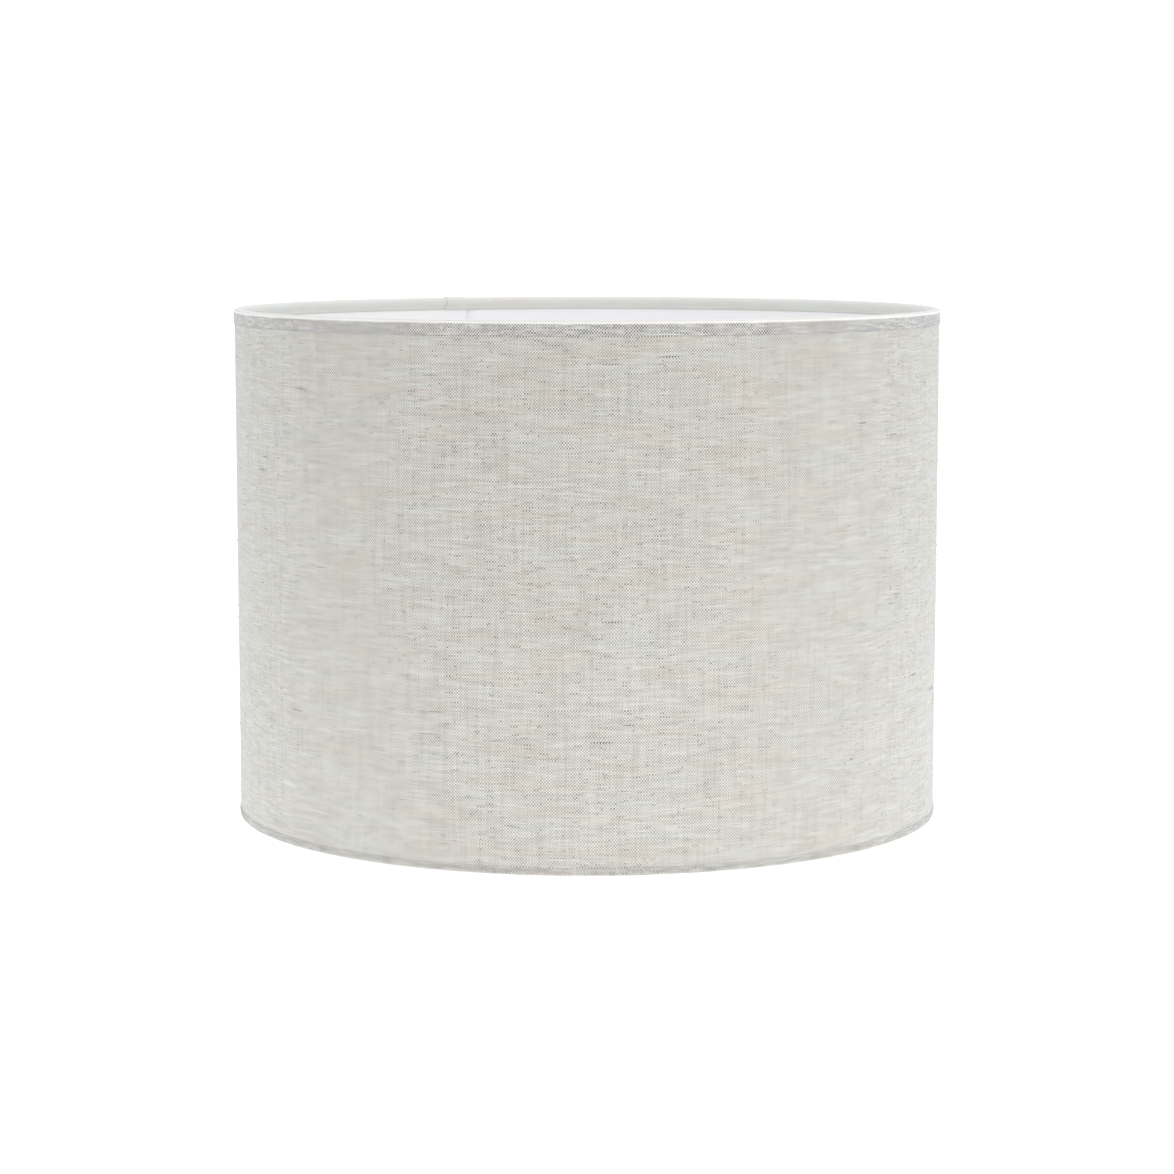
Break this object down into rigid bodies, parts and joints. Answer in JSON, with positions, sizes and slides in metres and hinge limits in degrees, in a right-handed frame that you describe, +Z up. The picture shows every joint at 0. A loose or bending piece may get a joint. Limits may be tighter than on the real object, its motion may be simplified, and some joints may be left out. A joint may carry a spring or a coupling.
{
  "type": "lamp shade",
  "caption": "Drum lamp shade of natural linen on a white liner, wire rings in folded bindings, and a recessed three-armed fitter with a lift-out reducer ring.",
  "frame": {"origin": "on the drum's axis, in the plane of the bottom binding that the shade stands on", "axes": "+Z up along the drum's axis, -Y towards the viewer (front), +X to the viewer's right; the seam is at the back, a little to the left"},
  "size_m": [0.35, 0.35, 0.252],
  "materials": {
    "linen": "plain-woven natural linen, fine slubs, matte",
    "binding_linen": "the same linen as a folded strip, threads run round the edge",
    "styrene": "smooth white sheet, satin",
    "tape": "clear adhesive film",
    "powder_coat": "white powder coat on steel wire and sheet, fine orange peel",
    "moulded_plastic": "white moulded plastic, lightly textured"
  },
  "bodies": {
    "shade": {"linen_cover": "linen", "styrene_liner": "styrene", "seam_tape": "tape", "top_ring": "powder_coat", "bottom_ring": "powder_coat", "top_binding": "binding_linen", "bottom_binding": "binding_linen", "fitter_arm_back": "powder_coat", "fitter_arm_left": "powder_coat", "fitter_arm_right": "powder_coat", "fitter_collar": "powder_coat"},
    "reducer": {"reducer_ring": "moulded_plastic"}
  },
  "joints": [
    {"name": "reducer_lift", "type": "slide", "parent": "shade", "child": "reducer", "axis": [0, 0, 1], "range_m": [0, 0.03]}
  ]
}
